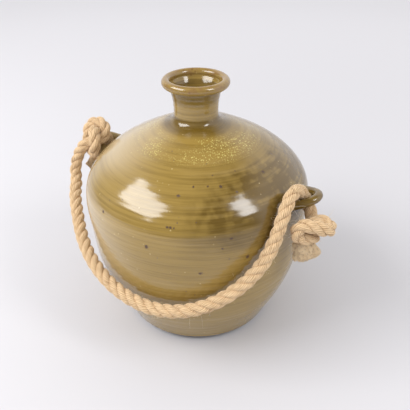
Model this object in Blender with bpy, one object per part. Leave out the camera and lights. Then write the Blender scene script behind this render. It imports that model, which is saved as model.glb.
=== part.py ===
"""A thrown stoneware decanter with two coil lugs and a knotted rope handle.

Metres, +Z up. The origin is the middle of the base. The lugs stand on the X axis, and the rope
hangs across the front, on the -Y side.
"""

import math

import bmesh
import bpy
import numpy as np

# Vessel: one turned outline, as (height share of BODY_HEIGHT, radius share of BELLY_RADIUS)
BODY_HEIGHT = 0.200
BELLY_RADIUS = 0.1065
BODY_OUTLINE_SHARES = (
    (0.030, 0.709),
    (0.050, 0.725),
    (0.150, 0.813),
    (0.250, 0.891),
    (0.350, 0.944),
    (0.450, 0.970),
    (0.550, 0.986),
    (0.630, 1.000),
    (0.700, 0.995),
    (0.750, 0.971),
    (0.800, 0.912),
    (0.850, 0.818),
    (0.900, 0.687),
    (0.950, 0.515),
    (0.985, 0.373),
    (1.000, 0.300),
    (1.008, 0.245),
)
FOOT_RADIUS = 0.0695
FOOT_EDGE = 0.0008
WALL = 0.0055
FLOOR_THICKNESS = 0.008
FLOOR_SWEEP = 0.012

# Neck and rolled rim: heights are shares of the neck, from the body to the middle of the rim
RIM_TOP_HEIGHT = 0.24265
RIM_RADIUS = 0.0262
RIM_ROLL = 0.00394
RIM_ROLL_START = math.radians(-140)
RIM_ROLL_END = math.radians(200)
RIM_ROLL_STEPS = 14
NECK_RADIUS = 0.0201
NECK_OUTLINE_SHARES = ((0.160, 1.010), (0.240, 1.000), (0.390, 1.002), (0.620, 1.040), (0.810, 1.120))
NECK_BORE = 0.0165
BORE_OUTLINE_SHARES = ((0.790, 1.150), (0.600, 1.040), (0.380, 1.000), (0.080, 1.000))
BORE_EDGE = 0.0025

# Turning
TURNED_SIDES = 64
OUTLINE_STEP = 0.0102
NECK_STEP = 0.0062

# Lugs: a clay coil bent to a U, its legs one behind the other
LUG_HEIGHT = 0.1515
LUG_REACH = 0.0203
LUG_HALF_SPAN = 0.0140
LUG_TILT = math.radians(20.5)
LUG_COIL_WIDTH = 0.0080
LUG_COIL_THICKNESS = 0.0070
LUG_ROOT_FLARE_SHARE = 0.55
LUG_ROOT_LENGTH = 0.0065
LUG_ROOT_DEPTH = 0.0060
LUG_STEPS = 30
LUG_SIDES = 14

# Rope: three-strand natural fibre, drawn to a smaller section where it is knotted
ROPE_DIAMETER = 0.012
KNOTTED_DIAMETER = 0.0092
KNOT_TAPER = 0.012
ROPE_POINT_SPACING = 0.024
KNOT_POINT_SPACING = 0.0052
ROPE_BEVEL_RESOLUTION = 4
KNOT_BEVEL_RESOLUTION = 2
ROPE_LEAST_GAP = 0.0004

# Route of the swag, from the left knot to the right lug
SWAG_ROUTE = (
    (-0.1160, -0.0508, 0.1160),
    (-0.1017, -0.0653, 0.1066),
    (-0.0864, -0.0787, 0.0981),
    (-0.0698, -0.0904, 0.0906),
    (-0.0521, -0.0996, 0.0844),
    (-0.0339, -0.1060, 0.0792),
    (-0.0156, -0.1096, 0.0749),
    (0.0021, -0.1104, 0.0718),
    (0.0191, -0.1088, 0.0703),
    (0.0350, -0.1050, 0.0709),
    (0.0499, -0.0990, 0.0737),
    (0.0632, -0.0916, 0.0788),
    (0.0752, -0.0832, 0.0859),
    (0.0854, -0.0744, 0.0949),
    (0.0938, -0.0656, 0.1054),
    (0.1000, -0.0570, 0.1170),
    (0.1036, -0.0492, 0.1294),
)

# Swing: the handle turns about the line from where it leaves the left knot to where it bends
# over the right lug
LEFT_SWING_POINT = (-0.1285, -0.0185, 0.1570)
RIGHT_SWING_POINT = (0.1080, -0.0280, 0.1635)
SWING_GAP = 0.0009

# Knots: points across, up and out from the tip of the lug, in the face of the knot, which is
# turned about Z from the line of the lugs and leans back
KNOT_TURN = math.radians(32)
KNOT_LEAN = math.radians(32.1)
LEFT_KNOT_ROUTE = (
    (-0.0249, -0.0408, 0.0048),
    (-0.0262, -0.0325, 0.0040),
    (-0.0266, -0.0245, 0.0046),
    (-0.0245, -0.0180, 0.0080),
    (-0.0185, -0.0128, 0.0130),
    (-0.0105, -0.0105, 0.0150),
    (-0.0010, -0.0090, 0.0145),
    (0.0070, -0.0065, 0.0150),
    (0.0125, -0.0025, 0.0165),
    (0.0110, 0.0030, 0.0185),
    (0.0020, 0.0055, 0.0190),
    (-0.0080, 0.0048, 0.0155),
    (-0.0155, 0.0010, 0.0100),
    (-0.0180, -0.0045, 0.0045),
    (-0.0150, -0.0110, 0.0035),
    (-0.0090, -0.0160, 0.0085),
    (-0.0005, -0.0185, 0.0170),
    (0.0045, -0.0145, 0.0240),
    (0.0055, -0.0070, 0.0260),
    (0.0055, -0.0005, 0.0210),
    (0.0040, 0.0045, 0.0105),
    (0.0045, 0.0080, 0.0010),
    (0.0090, 0.0070, -0.0010),
    (0.0120, 0.0020, 0.0030),
    (0.0105, -0.0040, 0.0040),
    (0.0075, -0.0100, -0.0005),
    (0.0025, -0.0155, -0.0065),
    (-0.0030, -0.0205, -0.0080),
    (-0.0085, -0.0245, -0.0070),
)
RIGHT_KNOT_ROUTE = (
    (-0.0351, -0.0277, 0.0143),
    (-0.0327, -0.0208, 0.0153),
    (-0.0300, -0.0137, 0.0163),
    (-0.0272, 0.0012, 0.0172),
    (-0.0235, 0.0100, 0.0140),
    (-0.0165, 0.0128, 0.0070),
    (-0.0108, 0.0080, -0.0010),
    (-0.0080, -0.0009, -0.0070),
    (-0.0040, -0.0100, -0.0080),
    (-0.0010, -0.0180, -0.0080),
    (0.0000, -0.0270, -0.0070),
    (-0.0020, -0.0345, -0.0030),
    (-0.0080, -0.0380, 0.0040),
    (-0.0175, -0.0385, 0.0070),
    (-0.0265, -0.0335, 0.0080),
    (-0.0270, -0.0245, 0.0120),
    (-0.0170, -0.0195, 0.0155),
    (-0.0050, -0.0225, 0.0185),
    (0.0055, -0.0290, 0.0160),
    (0.0135, -0.0310, 0.0070),
    (0.0150, -0.0220, 0.0010),
    (0.0085, -0.0160, 0.0030),
    (0.0000, -0.0175, 0.0040),
    (-0.0070, -0.0210, 0.0000),
    (-0.0110, -0.0285, -0.0050),
    (-0.0110, -0.0350, -0.0080),
    (-0.0105, -0.0405, -0.0080),
)
TIGHTENING_SPACING = 0.0025
TIGHTENING_STEPS = 900
TIGHTENING_LIMIT = 0.001
TIGHT_SELF_DISTANCE = 0.0106
TIGHT_LUG_DISTANCE = 0.0098
TIGHTENING_HELD_POINTS = 3
NEIGHBOUR_DIAMETERS = 1.7
SMOOTHING_SHARE = 0.12
SELF_PUSH_SHARE = 0.35
LUG_PUSH_SHARE = 0.7
ROUTE_PULL_SHARE = 0.03

# Frayed ends, as (length share, width share, thickness share)
TAIL_RING_SHARES = ((0.00, 0.40, 0.72), (0.25, 0.72, 0.80), (0.55, 0.94, 0.94), (0.85, 1.00, 1.00), (1.00, 0.86, 0.80))
RIGHT_TAIL_LENGTH = 0.0105
RIGHT_TAIL_WIDTH = 0.0290
RIGHT_TAIL_THICKNESS = 0.0130
RIGHT_TAIL_WAY = (0.25, -1.0, 0.10)
LEFT_TAIL_LENGTH = 0.0105
LEFT_TAIL_WIDTH = 0.0145
LEFT_TAIL_THICKNESS = 0.0115
LEFT_TAIL_WAY = (-0.45, -1.0, 0.15)
TAIL_SIDES = 16

# Fits
SEAT_GAP = 0.0003
CUTTER_OVERRUN = 0.004
MERGE_DISTANCE = 0.00001
FINE_STEPS = 40
SHARP_ANGLE = math.radians(40)

# Finishes: colour, roughness
CELADON = ((0.36, 0.30, 0.14, 1.0), 0.18)
FIBRE = ((0.68, 0.48, 0.28, 1.0), 0.90)


def smooth_curve(points, spacing):
    """Points at an even spacing along the natural cubic curve through the given points."""
    given = np.asarray(points, float)
    count = len(given)
    runs = np.linalg.norm(np.diff(given, axis=0), axis=1)
    system = np.eye(count)
    pull = np.zeros_like(given)
    for k in range(1, count - 1):
        system[k, k - 1:k + 2] = runs[k - 1], 2 * (runs[k - 1] + runs[k]), runs[k]
        pull[k] = 6 * ((given[k + 1] - given[k]) / runs[k] - (given[k] - given[k - 1]) / runs[k - 1])
    bend = np.linalg.solve(system, pull)
    share = np.linspace(0, 1, FINE_STEPS, endpoint=False)[:, None]
    parts = []
    for k in range(count - 1):
        straight = (1 - share) * given[k] + share * given[k + 1]
        bow = ((1 - share) ** 3 - (1 - share)) * bend[k] + (share ** 3 - share) * bend[k + 1]
        parts.append(straight + bow * runs[k] ** 2 / 6)
    fine = np.concatenate(parts + [given[-1:]])
    along = np.concatenate(([0.0], np.cumsum(np.linalg.norm(np.diff(fine, axis=0), axis=1))))
    stations = np.linspace(0, along[-1], max(2, round(along[-1] / spacing) + 1))
    return np.stack([np.interp(stations, along, fine[:, k]) for k in range(given.shape[1])], -1)


def path_length(points):
    return float(np.linalg.norm(np.diff(points, axis=0), axis=1).sum())


def outward(outline):
    """Unit normals of an outline that climbs, pointing away from the axis."""
    along = np.gradient(outline, axis=0)
    normals = np.stack([along[:, 1], -along[:, 0]], -1)
    return normals / np.linalg.norm(normals, axis=1)[:, None]


def body_outline(offset):
    """The body as (radius, height) from the foot to the neck, moved outwards by offset."""
    points = [(BELLY_RADIUS * radius, BODY_HEIGHT * height) for height, radius in BODY_OUTLINE_SHARES]
    curve = smooth_curve(points, OUTLINE_STEP)
    return curve + outward(curve) * offset


def rim_height():
    return RIM_TOP_HEIGHT - RIM_ROLL


def neck_points(shares, radius):
    span = rim_height() - BODY_HEIGHT
    return [(radius * across, BODY_HEIGHT + span * up) for up, across in shares]


def vessel_outline():
    """The whole section, from the axis under the base, over the rim and in to the axis again."""
    angles = np.linspace(RIM_ROLL_START, RIM_ROLL_END, RIM_ROLL_STEPS)
    roll = np.stack([RIM_RADIUS + RIM_ROLL * np.cos(angles), rim_height() + RIM_ROLL * np.sin(angles)], -1)
    outer = body_outline(0)
    neck = smooth_curve([outer[-1]] + neck_points(NECK_OUTLINE_SHARES, NECK_RADIUS) + [roll[0]], NECK_STEP)
    inner = body_outline(-WALL)[::-2]
    bore = neck_points(BORE_OUTLINE_SHARES, NECK_BORE)
    edge = [(NECK_BORE + BORE_EDGE, bore[-1][1] - BORE_EDGE)]
    mouth = smooth_curve([roll[-1]] + bore, NECK_STEP)
    inner = inner[(inner[:, 0] > NECK_BORE + BORE_EDGE) & (inner[:, 1] > FLOOR_THICKNESS + WALL)]
    wall_foot = inner[-1][0]
    foot = [(0, 0), (FOOT_RADIUS - FOOT_EDGE, 0), (FOOT_RADIUS, FOOT_EDGE)]
    floor = [
        (wall_foot - FLOOR_SWEEP / 3, FLOOR_THICKNESS + WALL / 4),
        (wall_foot - FLOOR_SWEEP, FLOOR_THICKNESS),
        (0, FLOOR_THICKNESS),
    ]
    parts = (foot, outer, neck[1:-1], roll, mouth[1:], edge, inner, floor)
    return [tuple(point) for part in parts for point in part]


def cutter_outline():
    """The space that the vessel takes, with its seat gap, closed to the axis at both ends."""
    outer = body_outline(SEAT_GAP)
    low = (FOOT_RADIUS, -CUTTER_OVERRUN)
    return [(0, -CUTTER_OVERRUN), low] + [tuple(point) for point in outer] + [(0, BODY_HEIGHT + CUTTER_OVERRUN)]


def new_object(name, mesh, finish):
    obj = bpy.data.objects.new(name, mesh)
    bpy.context.scene.collection.objects.link(obj)
    material = bpy.data.materials.new(name + "_finish")
    material.use_nodes = True
    shader = material.node_tree.nodes["Principled BSDF"]
    shader.inputs["Base Color"].default_value = finish[0]
    shader.inputs["Roughness"].default_value = finish[1]
    shader.inputs["Metallic"].default_value = 0.0
    mesh.materials.append(material)
    return obj


def finish_mesh(name, shape):
    bmesh.ops.recalc_face_normals(shape, faces=shape.faces)
    mesh = bpy.data.meshes.new(name)
    shape.to_mesh(mesh)
    shape.free()
    mesh.shade_smooth()
    mesh.set_sharp_from_angle(angle=SHARP_ANGLE)
    return mesh


def turned(name, outline, finish):
    """Spins an outline that starts and ends on the axis."""
    shape = bmesh.new()
    ring = [shape.verts.new((radius, 0, height)) for radius, height in outline]
    edges = [shape.edges.new(pair) for pair in zip(ring, ring[1:])]
    bmesh.ops.spin(
        shape, geom=ring + edges, cent=(0, 0, 0), axis=(0, 0, 1), angle=2 * math.pi, steps=TURNED_SIDES
    )
    bmesh.ops.remove_doubles(shape, verts=shape.verts, dist=MERGE_DISTANCE)
    return new_object(name, finish_mesh(name, shape), finish)


def lofted(name, rings, finish):
    """Joins rings of as many points each, and closes both ends."""
    shape = bmesh.new()
    made = [[shape.verts.new(point) for point in ring] for ring in rings]
    count = len(made[0])
    for low, high in zip(made, made[1:]):
        for k in range(count):
            after = (k + 1) % count
            shape.faces.new((low[k], low[after], high[after], high[k]))
    shape.faces.new(made[0][::-1])
    shape.faces.new(made[-1])
    return new_object(name, finish_mesh(name, shape), finish)


def radius_at(height):
    outer = body_outline(0)
    return float(np.interp(height, outer[:, 1], outer[:, 0]))


def lug_axes(side):
    """The way out along the tilted lug, and the way up through its hole."""
    out = np.array((side * math.cos(LUG_TILT), 0, math.sin(LUG_TILT)))
    through = np.array((-side * math.sin(LUG_TILT), 0, math.cos(LUG_TILT)))
    return out, through


def lug_root(side):
    radius = radius_at(LUG_HEIGHT)
    return np.array((side * (radius - LUG_HALF_SPAN ** 2 / (2 * radius)), 0, LUG_HEIGHT))


def lug_tip(side):
    return lug_root(side) + lug_axes(side)[0] * LUG_REACH


def lug_line(side, steps):
    """The middle of the coil: a leg, the bend and the other leg."""
    out = lug_axes(side)[0]
    turn = np.linspace(-math.pi / 2, math.pi / 2, steps)[:, None]
    bend = lug_root(side) + out * LUG_REACH * np.cos(turn) + np.array((0, LUG_HALF_SPAN, 0)) * np.sin(turn)
    start = bend[0] - out * LUG_ROOT_DEPTH
    end = bend[-1] - out * LUG_ROOT_DEPTH
    return np.concatenate(([start], bend, [end]))


def make_lug(name, side, cutter):
    line = lug_line(side, LUG_STEPS)
    out, through = lug_axes(side)
    along = np.gradient(line, axis=0)
    along /= np.linalg.norm(along, axis=1)[:, None]
    turns = np.linspace(0, 2 * math.pi, LUG_SIDES, endpoint=False)
    rings = []
    for point, way in zip(line, along):
        above_root = max(0.0, float((point - lug_root(side)) @ out))
        grow = 1 + LUG_ROOT_FLARE_SHARE * math.exp(-above_root / LUG_ROOT_LENGTH)
        across = np.cross(way, through)
        ring = [
            point
            + across * (LUG_COIL_WIDTH / 2 * grow * math.cos(turn))
            + through * (LUG_COIL_THICKNESS / 2 * grow * math.sin(turn))
            for turn in turns
        ]
        rings.append(ring)
    lug = lofted(name, rings, CELADON)
    seat = lug.modifiers.new("seat_on_shoulder", "BOOLEAN")
    seat.operation = "DIFFERENCE"
    seat.solver = "EXACT"
    seat.object = cutter
    return lug


def knot_axes():
    """Across, up and out of a knot's face."""
    out = np.array((
        math.sin(KNOT_TURN) * math.cos(KNOT_LEAN),
        -math.cos(KNOT_TURN) * math.cos(KNOT_LEAN),
        math.sin(KNOT_LEAN),
    ))
    across = np.array((math.cos(KNOT_TURN), math.sin(KNOT_TURN), 0.0))
    return np.stack([across, np.cross(out, across), out])


def drawn_tight(route, side):
    """Pulls a knot's route smooth, and pushes it clear of itself and of the clay coil."""
    start = smooth_curve(lug_tip(side) + np.asarray(route) @ knot_axes(), TIGHTENING_SPACING)
    coil = smooth_curve(lug_line(side, LUG_STEPS), TIGHTENING_SPACING / 2)
    line = start.copy()
    order = np.arange(len(line))
    steps_apart = np.abs(order[:, None] - order[None])
    apart = steps_apart * TIGHTENING_SPACING > NEIGHBOUR_DIAMETERS * TIGHT_SELF_DISTANCE
    for step in range(TIGHTENING_STEPS):
        move = np.zeros_like(line)
        move[1:-1] += SMOOTHING_SHARE * (line[:-2] + line[2:] - 2 * line[1:-1])
        between = line[:, None] - line[None]
        distance = np.linalg.norm(between, axis=-1) + np.finfo(float).eps
        close = np.where(apart & (distance < TIGHT_SELF_DISTANCE), TIGHT_SELF_DISTANCE - distance, 0.0)
        move += (between / distance[..., None] * close[..., None]).sum(1) * SELF_PUSH_SHARE
        from_coil = line[:, None] - coil[None]
        distance = np.linalg.norm(from_coil, axis=-1)
        nearest = distance.argmin(1)
        least = distance[order, nearest][:, None]
        move += from_coil[order, nearest] / least * np.clip(TIGHT_LUG_DISTANCE - least, 0, None) * LUG_PUSH_SHARE
        move += (start - line) * ROUTE_PULL_SHARE * (1 - step / TIGHTENING_STEPS)
        move[:TIGHTENING_HELD_POINTS] = 0
        move[-1] = 0
        line += np.clip(move, -TIGHTENING_LIMIT, TIGHTENING_LIMIT)
    return line


def least_self_distance(line):
    """The least distance between stretches of one line that aren't neighbours."""
    order = np.arange(len(line))
    along = np.concatenate(([0.0], np.cumsum(np.linalg.norm(np.diff(line, axis=0), axis=1))))
    apart = np.abs(along[:, None] - along[None]) > NEIGHBOUR_DIAMETERS * TIGHT_SELF_DISTANCE
    distance = np.linalg.norm(line[order][:, None] - line[None], axis=-1)
    return float(distance[apart].min())


def tube(name, points, diameters, bevel_resolution, finish):
    """A round cord along the points, as thick at each as its diameter there."""
    curve = bpy.data.curves.new(name, "CURVE")
    curve.dimensions = "3D"
    curve.bevel_depth = max(diameters) / 2
    curve.bevel_resolution = bevel_resolution
    curve.use_fill_caps = True
    curve.twist_mode = "MINIMUM"
    spline = curve.splines.new("POLY")
    spline.points.add(len(points) - 1)
    for place, point, diameter in zip(spline.points, points, diameters):
        place.co = (*point, 1.0)
        place.radius = diameter / max(diameters)
    return new_object(name, curve, finish)


def frayed_tail(name, line, way, length, width, thickness, finish):
    """A fan of loosened fibre that leaves the cut end of the rope square, and leans over to its way."""
    out = knot_axes()[2]
    straight = (line[-1] - line[-2]) / np.linalg.norm(line[-1] - line[-2])
    lean = np.asarray(way) @ knot_axes()
    lean /= np.linalg.norm(lean)
    turns = np.linspace(0, 2 * math.pi, TAIL_SIDES, endpoint=False)
    middle = line[-1] + straight * SEAT_GAP
    covered = 0
    rings = []
    for down_share, wide_share, thin_share in TAIL_RING_SHARES:
        down = straight * (1 - down_share) + lean * down_share
        down /= np.linalg.norm(down)
        middle = middle + down * (length * (down_share - covered))
        covered = down_share
        wide = np.cross(down, out)
        wide /= np.linalg.norm(wide)
        thin = np.cross(wide, down)
        rings.append([
            middle
            + wide * (width / 2 * wide_share * math.cos(turn))
            + thin * (thickness / 2 * thin_share * math.sin(turn))
            for turn in turns
        ])
    return lofted(name, rings, finish)


def square_to_swing(point, way):
    """The way, without the part of it that runs along the swing at the point."""
    start = np.array(LEFT_SWING_POINT)
    axis = np.array(RIGHT_SWING_POINT) - start
    axis /= np.linalg.norm(axis)
    along_swing = np.cross(axis, point - start)
    along_swing /= np.linalg.norm(along_swing)
    way = way - along_swing * (way @ along_swing)
    return way / np.linalg.norm(way)


def knot_end(line):
    """Where a knot hands over to the swag, and the way on from there."""
    return line[0], square_to_swing(line[0], line[0] - line[1])


def knot_points(line):
    """The knot's line with a first run that is square to the swing."""
    end, way = knot_end(line)
    rest = smooth_curve(line, KNOT_POINT_SPACING)
    return np.concatenate([[end, end - way * KNOT_POINT_SPACING / 2], rest[1:]])


def swag_points(left, right):
    """The swag from knot to knot. Each end runs straight on from its knot, clear of it in the swing."""
    ends = []
    for line in (left, right):
        end, way = knot_end(line)
        ends.append((end + way * SWING_GAP, end + way * ROPE_DIAMETER / 2))
    middle = smooth_curve([ends[0][1], *SWAG_ROUTE, ends[1][1]], ROPE_POINT_SPACING)
    return np.concatenate([[ends[0][0]], middle, [ends[1][0]]])


def make_rope():
    left = drawn_tight(LEFT_KNOT_ROUTE, -1)
    right = drawn_tight(RIGHT_KNOT_ROUTE, 1)
    swag = swag_points(left, right)
    origin = (np.array(LEFT_SWING_POINT) + np.array(RIGHT_SWING_POINT)) / 2
    handle = tube("rope_handle", swag - origin, [ROPE_DIAMETER] * len(swag), ROPE_BEVEL_RESOLUTION, FIBRE)
    handle.location = origin
    for name, line in (("knot_left", left), ("knot_right", right)):
        points = knot_points(line)
        along = np.linspace(0, path_length(points), len(points))
        diameters = np.interp(along, (0, KNOT_TAPER), (ROPE_DIAMETER, KNOTTED_DIAMETER))
        tube(name, points, diameters, KNOT_BEVEL_RESOLUTION, FIBRE)
        gap = least_self_distance(points) - KNOTTED_DIAMETER
        print(f"{name}: least gap to itself {gap:.5f} m, wanted {ROPE_LEAST_GAP}, length {path_length(line):.4f} m")
    print(f"rope_handle: length {path_length(swag):.4f} m")
    frayed_tail(
        "rope_tail_left", left, LEFT_TAIL_WAY,
        LEFT_TAIL_LENGTH, LEFT_TAIL_WIDTH, LEFT_TAIL_THICKNESS, FIBRE,
    )
    frayed_tail(
        "rope_tail_right", right, RIGHT_TAIL_WAY,
        RIGHT_TAIL_LENGTH, RIGHT_TAIL_WIDTH, RIGHT_TAIL_THICKNESS, FIBRE,
    )


def main():
    for obj in list(bpy.data.objects):
        bpy.data.objects.remove(obj)
    turned("vessel_body", vessel_outline(), CELADON)
    cutter = turned("vessel_space", cutter_outline(), CELADON)
    cutter.hide_render = True
    cutter.display_type = "WIRE"
    for name, side in (("lug_left", -1), ("lug_right", 1)):
        make_lug(name, side, cutter)
    make_rope()


main()
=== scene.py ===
"""The looks of a glazed stoneware decanter with a rope handle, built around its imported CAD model.

Metres, +Z up, the same frame as the CAD model: the base stands at the origin, the lugs are on the X
axis, and the rope hangs across the front, on the -Y side.
"""

import math
from collections import namedtuple

import bpy
import numpy as np
from mathutils import Matrix, Vector


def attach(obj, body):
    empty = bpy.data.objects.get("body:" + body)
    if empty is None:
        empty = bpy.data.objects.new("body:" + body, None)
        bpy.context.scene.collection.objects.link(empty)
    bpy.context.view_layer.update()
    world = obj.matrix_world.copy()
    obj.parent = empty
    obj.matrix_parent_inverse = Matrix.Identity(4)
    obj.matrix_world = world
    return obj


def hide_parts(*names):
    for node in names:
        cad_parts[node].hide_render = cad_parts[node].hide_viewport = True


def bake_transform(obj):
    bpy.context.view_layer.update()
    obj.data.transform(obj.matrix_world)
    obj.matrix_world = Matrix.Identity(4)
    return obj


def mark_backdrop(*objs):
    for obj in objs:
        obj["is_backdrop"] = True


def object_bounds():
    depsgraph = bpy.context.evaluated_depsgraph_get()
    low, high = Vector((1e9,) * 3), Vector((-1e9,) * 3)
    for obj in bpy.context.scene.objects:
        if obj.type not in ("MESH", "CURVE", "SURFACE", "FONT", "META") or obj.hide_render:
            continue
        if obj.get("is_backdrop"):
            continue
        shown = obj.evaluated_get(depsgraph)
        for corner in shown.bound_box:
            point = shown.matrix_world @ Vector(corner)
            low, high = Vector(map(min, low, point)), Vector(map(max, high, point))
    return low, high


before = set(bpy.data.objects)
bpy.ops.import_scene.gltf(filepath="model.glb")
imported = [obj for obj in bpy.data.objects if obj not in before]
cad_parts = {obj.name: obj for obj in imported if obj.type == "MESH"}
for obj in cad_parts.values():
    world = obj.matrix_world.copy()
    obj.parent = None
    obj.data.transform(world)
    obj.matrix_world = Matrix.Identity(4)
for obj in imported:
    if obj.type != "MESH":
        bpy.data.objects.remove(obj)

bl_info = {
    "name": "Rope-handled decanter",
    "version": (1, 0, 0),
    "blender": (4, 5, 0),
    "location": "3D View > Sidebar > Decanter",
    "description": "Builds a glazed stoneware decanter with coil lugs and a knotted rope handle",
    "category": "Add Mesh",
}

# The floor is darker where the lamps shine on it, so that it looks even
LIT_SPOT = (0.05, -0.15, 0.0)
FLOOR_NEAR_SHARE = 0.675
FLOOR_FADE = 1.6
FLOOR_REACH = 3.0

# Lamps: name, place, target and size
MAIN_LAMP = ("main_lamp", (-0.52, -0.70, 0.92), (0.0, -0.06, 0.15), (0.90, 0.55))
SIDE_LAMP = ("side_lamp", (0.80, -0.03, 0.86), (0.06, 0.0, 0.16), (0.28, 0.45))

# Strength of the floor's colour where the camera sees past the floor
BACKDROP_SHARE = 0.95

# What mirrored rays see of the room: bright towards the back and below the ceiling, dark elsewhere
MIRRORED_TINT = (1, 0.985, 1, 1)
MIRRORED_DARK = 0.12
MIRRORED_BRIGHT = 0.95
ROOM_BACK = (-0.15, 0.30)
ROOM_TOP = (0.62, 0.92)

# Camera, from the photograph: a 410 pixel square frame
EYE = (0.23951, -0.36956, 0.38813)
LOOK_BACK = (0.4487, -0.7181, 0.5319)
CAMERA_ROLL = math.radians(-0.426)
LENS_MM = 45.66
SENSOR_MM = 36.0
CLIP_START = 0.01

# Vessel section, as (height, radius) from the foot to the neck
BODY_OUTLINE = (
    (0.0060, 0.0755), (0.0100, 0.0772), (0.0300, 0.0866), (0.0500, 0.0949), (0.0700, 0.1005),
    (0.0900, 0.1033), (0.1100, 0.1050), (0.1260, 0.1065), (0.1400, 0.1060), (0.1500, 0.1034),
    (0.1600, 0.0971), (0.1700, 0.0871), (0.1800, 0.0732), (0.1900, 0.0548), (0.1970, 0.0397),
    (0.2000, 0.0320), (0.2025, 0.0262), (0.2066, 0.0212), (0.2100, 0.0202),
)
NECK_OUTLINE = ((0.2160, 0.0201), (0.2240, 0.0209), (0.2310, 0.0224))
BORE_OUTLINE = ((0.2310, 0.0189), (0.2240, 0.0172), (0.2160, 0.0165), (0.2060, 0.0165), (0.2020, 0.0172))
FOOT_RADIUS = 0.0695
FLOOR_HEIGHT = 0.008

# Middle of the rim's tube, and the underside out to the edge of the foot, as (radius, height)
RIM_MIDDLE = (0.0262, 0.2387)
FOOT_EDGE = (
    (0.0, 0.0), (0.03, 0.0), (0.06, 0.0),
    (FOOT_RADIUS - 0.0008, 0.0), (FOOT_RADIUS - 0.0002, 0.0003), (FOOT_RADIUS + 0.0003, 0.0010),
    (0.0711, 0.0025), (0.0735, 0.0044),
)

WALL = 0.0055
INNER_LEAST_HEIGHT = 0.020
INNER_LEAST_RADIUS = 0.0135
RIM_TUBE = 0.00394
RIM_TURN = (math.radians(-140), math.radians(200))
RIM_STEPS = 40

# Finger lines, how strongly the rim and the inside show them, and the unevenness of wall and coil
FINE_RIDGES = 3
FINE_RIDGE_SHARE = 0.35
RIDGE_NOISE_SCALE = 60.0
WANDER_NOISE_SCALE = 14.0
COIL_NOISE_SCALE = 130.0
RIDGE_START = 0.004
RIDGE_FULL_AFTER = 0.008
RIM_FINGERED = 0.35
INSIDE_FINGERED = 0.7

# Lugs, as in the CAD model
LUG_HEIGHT = 0.1515
LUG_REACH = 0.0203
LUG_HALF_SPAN = 0.0140
LUG_TILT = math.radians(20.5)
LUG_ROOT_DEPTH = 0.0060
LUG_STEPS = 30


def in_metres(*rows):
    return tuple(tuple(value / 10000 for value in row) for row in rows)


# Rope routes, as in the CAD model, in tenths of a millimetre
SWAG_ROUTE = in_metres(
    (-1160, -508, 1160), (-1017, -653, 1066), (-864, -787, 981), (-698, -904, 906),
    (-521, -996, 844), (-339, -1060, 792), (-156, -1096, 749), (21, -1104, 718),
    (191, -1088, 703), (350, -1050, 709), (499, -990, 737), (632, -916, 788),
    (752, -832, 859), (854, -744, 949), (938, -656, 1054), (1000, -570, 1170),
    (1036, -492, 1294),
)
# The routes of the knots are given across, up and out of a face that is turned and leans back
KNOT_TURN = math.radians(32)
KNOT_LEAN = math.radians(32.1)
LEFT_KNOT_ROUTE = in_metres(
    (-249, -408, 48), (-262, -325, 40), (-266, -245, 46), (-245, -180, 80),
    (-185, -128, 130), (-105, -105, 150), (-10, -90, 145), (70, -65, 150),
    (125, -25, 165), (110, 30, 185), (20, 55, 190), (-80, 48, 155),
    (-155, 10, 100), (-180, -45, 45), (-150, -110, 35), (-90, -160, 85),
    (-5, -185, 170), (45, -145, 240), (55, -70, 260), (55, -5, 210),
    (40, 45, 105), (45, 80, 10), (90, 70, -10), (120, 20, 30),
    (105, -40, 40), (75, -100, -5), (25, -155, -65), (-30, -205, -80),
    (-85, -245, -70),
)
RIGHT_KNOT_ROUTE = in_metres(
    (-351, -277, 143), (-327, -208, 153), (-300, -137, 163), (-272, 12, 172),
    (-235, 100, 140), (-165, 128, 70), (-108, 80, -10), (-80, -9, -70),
    (-40, -100, -80), (-10, -180, -80), (0, -270, -70), (-20, -345, -30),
    (-80, -380, 40), (-175, -385, 70), (-265, -335, 80), (-270, -245, 120),
    (-170, -195, 155), (-50, -225, 185), (55, -290, 160), (135, -310, 70),
    (150, -220, 10), (85, -160, 30), (0, -175, 40), (-70, -210, 0),
    (-110, -285, -50), (-110, -350, -80), (-105, -405, -80),
)

# How a knot's route is drawn tight, and how finely curves are followed
TIGHTENING_SPACING = 0.0025
TIGHTENING_STEPS = 900
TIGHTENING_LIMIT = 0.001
TIGHT_SELF_DISTANCE = 0.0106
TIGHT_LUG_DISTANCE = 0.0098
TIGHTENING_HELD_POINTS = 3
NEIGHBOUR_DIAMETERS = 1.7
SMOOTHING_SHARE = 0.12
SELF_PUSH_SHARE = 0.35
LUG_PUSH_SHARE = 0.7
ROUTE_PULL_SHARE = 0.03
FINE_STEPS = 40

# Points closer than this become one, at a seam or a pole
MERGE_DISTANCE = 0.00002

# Where the rope's ends bend from the fixed knots into the handle that swings
RIGHT_BEND_LENGTH = 0.034

# Share of its diameter that the rope loses inside a knot, and the length over which that comes on
KNOT_SQUEEZE_SHARE = 0.05
KNOT_FADE = 0.010

# Strands: shares of the rope's diameter, the twist in one lay, and the shape of the yarns round a strand
STRANDS = 3
STRAND_OFFSET_SHARE = 0.238
STRAND_RADIUS_SHARE = 0.270
STRAND_TWIST = -3.4 * math.pi
NOMINAL_STRAND_RADIUS = 0.003
LOBE_LEVEL = 0.6

# Loose fibres, and the pale parts of the rope
FIBRE_NOISE_SCALE = 160.0
FIBRE_CURL_POWER = 1.6
FIBRE_LEAN_POWER = 1.7
FIBRE_TAPER = 0.55
HAIR_CURL = 0.004
HAIR_STATIONS = 8
LONG_HAIR_TIMES = 3.2
FRAY_CURL = 0.005
FRAY_STATIONS = 9
PALE_YARN_COLOUR = (0.90, 0.75, 0.52)
LOOSE_FIBRE_COLOUR = (0.92, 0.74, 0.50)

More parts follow.
